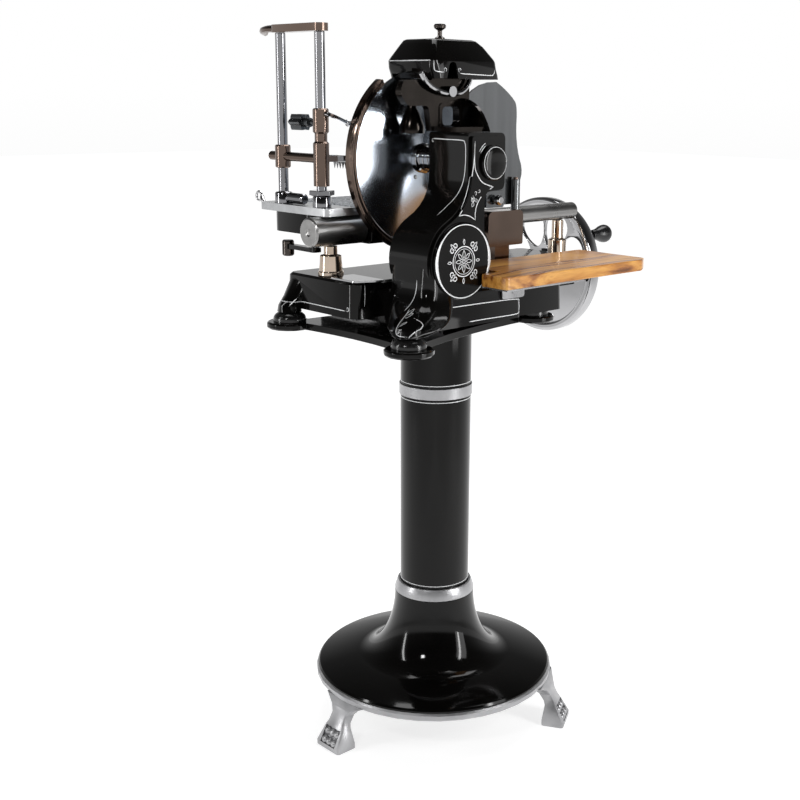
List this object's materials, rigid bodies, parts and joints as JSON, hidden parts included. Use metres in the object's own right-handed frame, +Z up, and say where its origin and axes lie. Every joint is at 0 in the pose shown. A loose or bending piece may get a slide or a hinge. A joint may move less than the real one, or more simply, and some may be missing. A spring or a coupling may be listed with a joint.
{
  "type": "hand crank meat slicer",
  "caption": "Hand cranked flywheel meat slicer with round blade, sliding carriage, sharpener hood, slice deflector and wooden board, on a column stand with claw feet.",
  "frame": {"origin": "centre of the bounding box on the floor, under the claw feet's soles", "axes": "+Z up; +Y along the carriage's travel, towards the flywheel; +X along the blade's axis, towards the slice side"},
  "size_m": [0.5476, 0.823, 1.2893],
  "materials": {
    "black_enamel": "gloss black enamel",
    "silver_paint": "silver grey enamel",
    "chrome": "polished",
    "steel": "satin",
    "aluminium": "fine satin",
    "wood": "oiled, striped grain",
    "black_grip": "black, gloss",
    "black_rubber": "black",
    "abrasive": "bonded grit",
    "bronze": "bearing bronze"
  },
  "bodies": {
    "stand": {"base_casting": "black_enamel", "blade_guard_ring": "chrome", "board_bracket": "steel", "claw_foot_ring": "silver_paint", "column": "black_enamel", "column_band": "silver_paint", "column_collar": "silver_paint", "deflector_block": "chrome", "drip_plate": "chrome", "drive_chain": "steel", "drum_cover": "black_enamel", "flywheel_bearing": "bronze", "foot_pad_front_left": "black_rubber", "foot_pad_front_right": "black_rubber", "foot_pad_rear_left": "black_rubber", "foot_pad_rear_right": "black_rubber", "gear_column": "black_enamel", "guide_rail": "chrome", "mounting_plate": "black_enamel", "pedestal_base": "black_enamel", "rail_post_front": "chrome", "rail_post_rear": "chrome", "shaft_cover": "chrome", "sharpener_bracket": "chrome"},
    "flywheel_set": {"flywheel": "chrome", "flywheel_shaft": "steel", "flywheel_nut": "chrome", "crank_pin": "chrome", "bevel_gear": "steel"},
    "grip": {"crank_grip": "black_grip"},
    "cross_drive": {"cross_shaft": "steel", "spur_pinion": "steel"},
    "drum_drive": {"drum_shaft": "steel", "drum_gear": "steel", "lower_sprocket": "steel"},
    "blade_set": {"blade": "chrome", "blade_hub": "chrome", "blade_shaft": "steel", "upper_sprocket": "steel"},
    "carriage": {"carriage_bearing": "black_enamel", "carriage_frame": "black_enamel"},
    "table": {"meat_table": "aluminium", "holder_rod_left": "chrome", "holder_rod_right": "chrome", "holder_bar": "chrome"},
    "table_lock": {"table_lock": "chrome"},
    "press": {"press_beam": "chrome"},
    "gripper": {"gripper": "chrome"},
    "clamp_knob": {"clamp_knob": "aluminium"},
    "clamp_lever": {"clamp_lever": "chrome"},
    "thickness_lever": {"thickness_lever": "black_enamel", "thickness_knob": "chrome"},
    "sharpener_cover": {"sharpener_cover": "black_enamel", "cover_knob": "chrome"},
    "sharpener_lever": {"sharpener_lever": "chrome"},
    "grinding_wheel": {"grinding_wheel": "abrasive"},
    "honing_wheel": {"honing_wheel": "abrasive"},
    "deflector": {"slice_deflector": "steel", "deflector_knob": "chrome"},
    "board": {"serving_board": "wood"}
  },
  "joints": [
    {"name": "flywheel_spin", "type": "hinge", "parent": "stand", "child": "flywheel_set", "pos_m": [-0.1293, 0.3355, 0.8155], "axis": [0, 1, 0], "continuous": true},
    {"name": "grip_spin", "type": "hinge", "parent": "flywheel_set", "child": "grip", "pos_m": [-0.01422, 0.3805, 0.88797], "axis": [0, 1, 0], "continuous": true},
    {"name": "cross_shaft_spin", "type": "hinge", "parent": "stand", "child": "cross_drive", "pos_m": [0.0277, -0.2245, 0.8155], "axis": [1, 0, 0], "continuous": true},
    {"name": "drum_spin", "type": "hinge", "parent": "stand", "child": "drum_drive", "pos_m": [0.1377, -0.2245, 0.902], "axis": [1, 0, 0], "continuous": true},
    {"name": "blade_spin", "type": "hinge", "parent": "stand", "child": "blade_set", "pos_m": [0.0277, -0.1545, 1.061], "axis": [1, 0, 0], "continuous": true},
    {"name": "carriage_slide", "type": "slide", "parent": "stand", "child": "carriage", "axis": [0, 1, 0], "range_m": [0, 0.25]},
    {"name": "table_feed", "type": "slide", "parent": "carriage", "child": "table", "axis": [1, 0, 0], "range_m": [-0.08, 0]},
    {"name": "table_lock_turn", "type": "hinge", "parent": "table", "child": "table_lock", "pos_m": [-0.2123, -0.3305, 0.9735], "axis": [1, 0, 0], "range_deg": [-40, 40]},
    {"name": "press_slide", "type": "slide", "parent": "table", "child": "press", "axis": [0, 0, 1], "range_m": [-0.006, 0.11]},
    {"name": "gripper_tilt", "type": "hinge", "parent": "press", "child": "gripper", "pos_m": [-0.0513, -0.3105, 1.062], "axis": [1, 0, 0], "range_deg": [-20, 15]},
    {"name": "clamp_knob_turn", "type": "hinge", "parent": "press", "child": "clamp_knob", "pos_m": [-0.0513, -0.3325, 1.122], "axis": [1, 0, 0], "range_deg": [0, 350]},
    {"name": "clamp_lever_swing", "type": "hinge", "parent": "press", "child": "clamp_lever", "pos_m": [-0.0513, -0.3325, 1.136], "axis": [1, 0, 0], "range_deg": [-15, 60]},
    {"name": "thickness_lever_swing", "type": "hinge", "parent": "carriage", "child": "thickness_lever", "pos_m": [-0.0843, -0.3265, 0.903], "axis": [0, 0, 1], "range_deg": [-50, 10]},
    {"name": "cover_lift", "type": "slide", "parent": "stand", "child": "sharpener_cover", "axis": [0, 0, 1], "range_m": [0, 0.09]},
    {"name": "sharpener_lever_swing", "type": "hinge", "parent": "stand", "child": "sharpener_lever", "pos_m": [0.0777, -0.1625, 1.176], "axis": [1, 0, 0], "range_deg": [-5, 5]},
    {"name": "grinding_wheel_spin", "type": "hinge", "parent": "stand", "child": "grinding_wheel", "pos_m": [0.0277, -0.1805, 1.222], "axis": [1, 0, 0], "continuous": true},
    {"name": "honing_wheel_spin", "type": "hinge", "parent": "stand", "child": "honing_wheel", "pos_m": [0.0277, -0.1265, 1.214], "axis": [1, 0, 0], "continuous": true},
    {"name": "deflector_swing", "type": "hinge", "parent": "stand", "child": "deflector", "pos_m": [0.0637, 0.0315, 0.99], "axis": [0, 0, 1], "range_deg": [0, 25]},
    {"name": "board_lift", "type": "slide", "parent": "stand", "child": "board", "axis": [0, 0, 1], "range_m": [0, 0.05]}
  ],
  "couplings": [
    {"joint": "cross_shaft_spin", "follows": "flywheel_spin", "ratio": -2},
    {"joint": "drum_spin", "follows": "flywheel_spin", "ratio": 1.1724},
    {"joint": "blade_spin", "follows": "flywheel_spin", "ratio": 2.5793}
  ]
}
